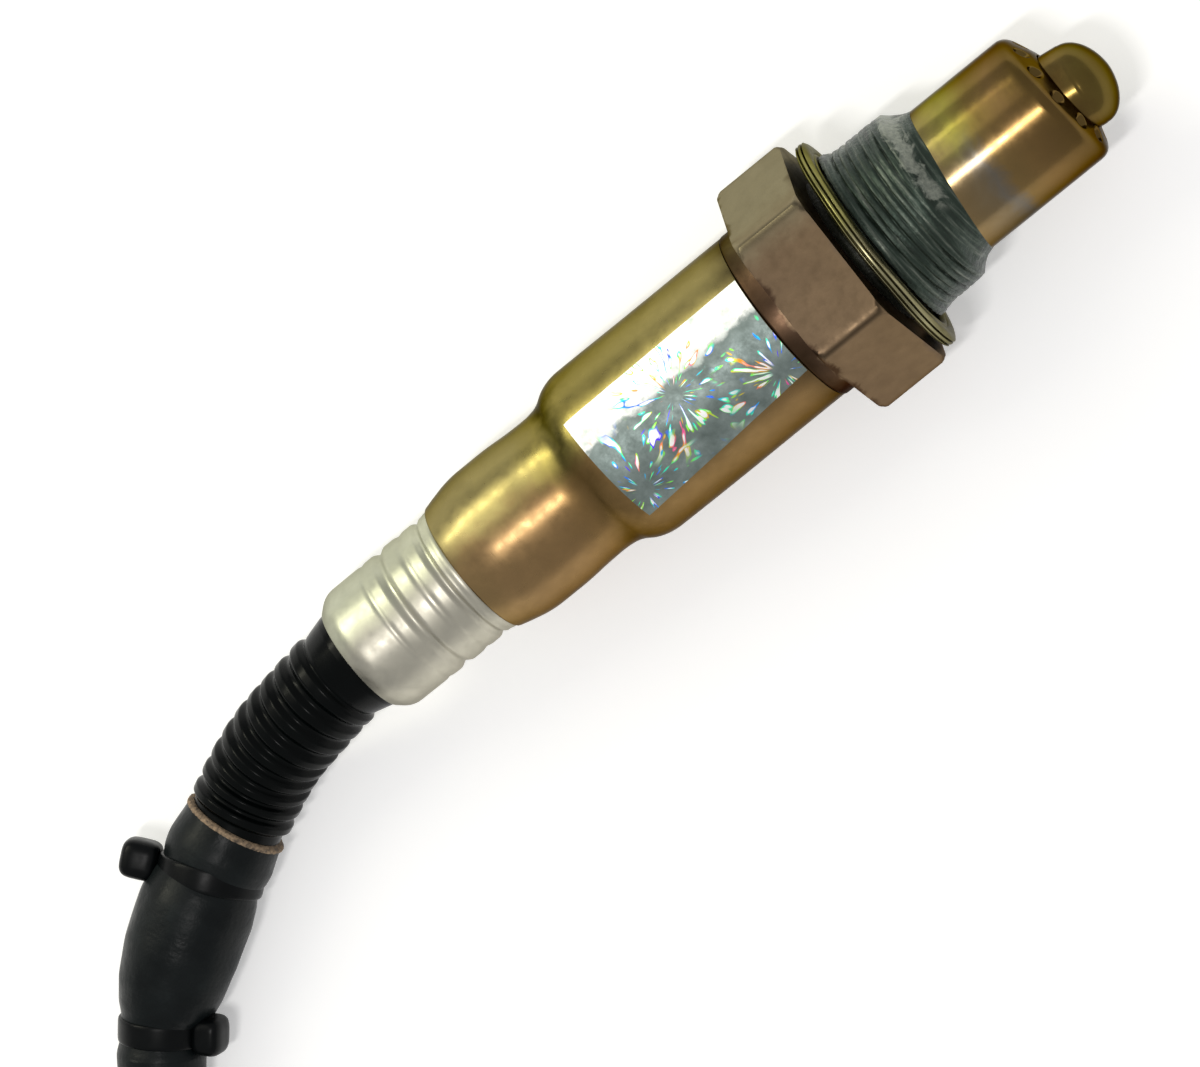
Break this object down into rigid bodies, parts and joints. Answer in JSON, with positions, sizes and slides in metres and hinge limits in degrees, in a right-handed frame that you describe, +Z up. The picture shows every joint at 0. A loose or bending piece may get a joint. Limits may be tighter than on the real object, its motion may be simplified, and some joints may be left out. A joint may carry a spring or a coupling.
{
  "type": "oxygen sensor",
  "caption": "Screw-in exhaust oxygen sensor with hexagon body, domed protection tube, sealing ring, stepped heat-tinted sheath, foil label, corrugated outlet, sleeved cable and sealed plug.",
  "frame": {"origin": "on the sensor's axis at the seat face of the hexagon, where the sealing ring bears", "axes": "+X along the thread's axis towards the gas tip, +Z up with the sensor lying on one flat of its hexagon, +Y to the left looking along +X"},
  "size_m": [0.2316, 0.0954, 0.023],
  "materials": {
    "hex_steel": "heat-tinted, matte",
    "ring_steel": "satin",
    "tube_steel": "heat-tinted, satin",
    "tinted_steel": "heat-tinted, satin",
    "crimp_steel": "bright, satin",
    "contact_metal": "satin",
    "ceramic": "unglazed",
    "foil": "embossed iridescent foil",
    "hose_plastic": "satin black",
    "cut_fibre": "cut fibre edge",
    "sleeve_fabric": "coated glass-fibre sleeve",
    "tie_plastic": "satin black",
    "wire_cover": "smooth black insulation",
    "plug_plastic": "fine moulded texture",
    "lock_plastic": "moulded red-brown",
    "seal_rubber": "matte"
  },
  "bodies": {
    "root": {"hex_body": "hex_steel", "sealing_ring": "ring_steel", "outer_protection_tube": "tube_steel", "inner_protection_tube": "tube_steel", "front_ceramic_bush": "ceramic", "powder_seal": "ceramic", "rear_ceramic_bush": "ceramic", "clamp_ring": "ring_steel", "sensing_element": "ceramic", "contact_holder_upper": "ceramic", "contact_holder_lower": "ceramic", "holder_band": "ring_steel", "contact_clips": "contact_metal", "rear_sheath": "tinted_steel", "foil_label": "foil", "crimp_sleeve": "crimp_steel", "grommet": "seal_rubber", "lead_wires": "wire_cover", "corrugated_hose": "hose_plastic", "sleeve_end_band": "cut_fibre", "sleeve_mouth": "sleeve_fabric", "cable_run": "sleeve_fabric", "cable_coil": "sleeve_fabric", "cable_tie_front": "tie_plastic", "cable_tie_rear": "tie_plastic", "plug_wires": "wire_cover", "plug_rear_cap": "plug_plastic", "plug_wire_seal": "seal_rubber", "plug_housing": "plug_plastic", "plug_lock": "lock_plastic", "plug_rim_seal": "seal_rubber", "plug_pins": "contact_metal"}
  },
  "joints": []
}
